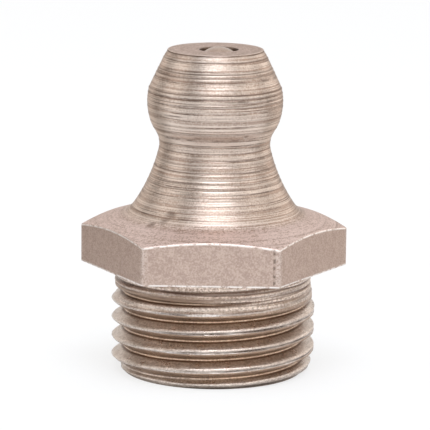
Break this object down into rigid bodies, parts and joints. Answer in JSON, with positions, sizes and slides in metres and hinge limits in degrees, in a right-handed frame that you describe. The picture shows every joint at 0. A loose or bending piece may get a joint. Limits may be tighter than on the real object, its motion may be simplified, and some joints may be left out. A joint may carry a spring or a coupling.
{
  "type": "grease nipple",
  "caption": "Straight grease nipple: a threaded shank, a hexagon and a conical head whose mouth a sprung check ball closes.",
  "frame": {"origin": "on the thread's axis, in the seat plane under the hexagon", "axes": "+Z along the thread's axis towards the head, +X through a corner of the hexagon, -Y out of a flat"},
  "size_m": [0.0126, 0.011, 0.0155],
  "materials": {
    "body_steel": "turned bare steel, satin on the head and matt on the hexagon",
    "ball_steel": "ground bearing ball, dulled",
    "spring_wire": "drawn spring wire"
  },
  "bodies": {
    "housing": {"body": "body_steel", "spring": "spring_wire"},
    "ball": {"check_ball": "ball_steel"}
  },
  "joints": [
    {"name": "ball_slide", "type": "slide", "parent": "housing", "child": "ball", "axis": [0, 0, -1], "range_m": [0, 0.001], "stiffness_N_per_m": 500, "springref_m": -0.004, "deforming": ["spring"]}
  ]
}
